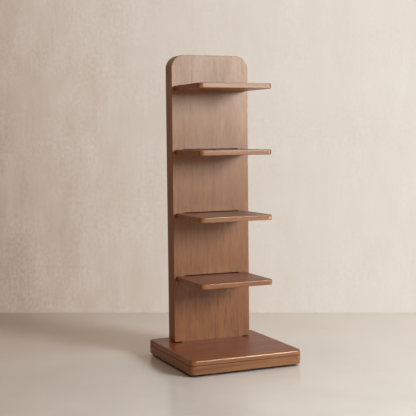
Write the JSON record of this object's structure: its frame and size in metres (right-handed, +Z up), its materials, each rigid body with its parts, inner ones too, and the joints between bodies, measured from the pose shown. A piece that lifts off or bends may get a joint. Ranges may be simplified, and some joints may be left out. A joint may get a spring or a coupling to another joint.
{
  "type": "spine bookshelf",
  "caption": "Free-standing bookshelf: an upright spine board on a two-slab base carries cantilevered shelves, with levelling feet under the base.",
  "frame": {"origin": "on the floor under the middle of the base", "axes": "+X along the shelves to the right seen from the front, +Y to the back, +Z up"},
  "size_m": [0.52, 0.505, 1.351],
  "materials": {
    "walnut": "satin lacquer",
    "beech": "bare",
    "zinc_steel": "zinc plated",
    "brass": "machined",
    "brown_plastic": "matt",
    "black_plastic": "matt"
  },
  "bodies": {
    "bookshelf": {"base_upper_slab": "walnut", "base_lower_slab": "walnut", "spine_front_panel": "walnut", "spine_back_panel": "walnut", "spine_left_stile": "walnut", "spine_right_stile": "walnut", "spine_top_rail": "walnut", "spine_foot_rail": "walnut", "spine_shelf_rail_1": "walnut", "spine_shelf_rail_2": "walnut", "spine_shelf_rail_3": "walnut", "spine_shelf_rail_4": "walnut", "shelf_1": "walnut", "shelf_2": "walnut", "shelf_3": "walnut", "shelf_4": "walnut", "spine_frame_dowels": "beech", "base_slab_dowels": "beech", "base_slab_screws": "zinc_steel", "spine_foot_bolts": "zinc_steel", "shelf_bolts": "zinc_steel", "foot_nuts": "zinc_steel", "spine_foot_inserts": "brass", "shelf_bolt_inserts": "brass", "shelf_bolt_caps": "brown_plastic"},
    "front_left_pad": {"front_left_foot_pad": "black_plastic"},
    "front_left_stem": {"front_left_foot_stem": "zinc_steel"},
    "front_right_pad": {"front_right_foot_pad": "black_plastic"},
    "front_right_stem": {"front_right_foot_stem": "zinc_steel"},
    "rear_left_pad": {"rear_left_foot_pad": "black_plastic"},
    "rear_left_stem": {"rear_left_foot_stem": "zinc_steel"},
    "rear_right_pad": {"rear_right_foot_pad": "black_plastic"},
    "rear_right_stem": {"rear_right_foot_stem": "zinc_steel"}
  },
  "joints": [
    {"name": "front_left_pad_slide", "type": "slide", "parent": "bookshelf", "child": "front_left_pad", "axis": [0, 0, -1], "range_m": [0, 0.01]},
    {"name": "front_left_stem_turn", "type": "hinge", "parent": "front_left_pad", "child": "front_left_stem", "pos_m": [-0.2, -0.1925, 0.009], "axis": [0, 0, -1], "range_deg": [0, 2880]},
    {"name": "front_right_pad_slide", "type": "slide", "parent": "bookshelf", "child": "front_right_pad", "axis": [0, 0, -1], "range_m": [0, 0.01]},
    {"name": "front_right_stem_turn", "type": "hinge", "parent": "front_right_pad", "child": "front_right_stem", "pos_m": [0.2, -0.1925, 0.009], "axis": [0, 0, -1], "range_deg": [0, 2880]},
    {"name": "rear_left_pad_slide", "type": "slide", "parent": "bookshelf", "child": "rear_left_pad", "axis": [0, 0, -1], "range_m": [0, 0.01]},
    {"name": "rear_left_stem_turn", "type": "hinge", "parent": "rear_left_pad", "child": "rear_left_stem", "pos_m": [-0.2, 0.1925, 0.009], "axis": [0, 0, -1], "range_deg": [0, 2880]},
    {"name": "rear_right_pad_slide", "type": "slide", "parent": "bookshelf", "child": "rear_right_pad", "axis": [0, 0, -1], "range_m": [0, 0.01]},
    {"name": "rear_right_stem_turn", "type": "hinge", "parent": "rear_right_pad", "child": "rear_right_stem", "pos_m": [0.2, 0.1925, 0.009], "axis": [0, 0, -1], "range_deg": [0, 2880]}
  ],
  "couplings": [
    {"joint": "front_left_stem_turn", "follows": "front_left_pad_slide", "rad_per_m": 5026.5},
    {"joint": "front_right_stem_turn", "follows": "front_right_pad_slide", "rad_per_m": 5026.5},
    {"joint": "rear_left_stem_turn", "follows": "rear_left_pad_slide", "rad_per_m": 5026.5},
    {"joint": "rear_right_stem_turn", "follows": "rear_right_pad_slide", "rad_per_m": 5026.5}
  ]
}
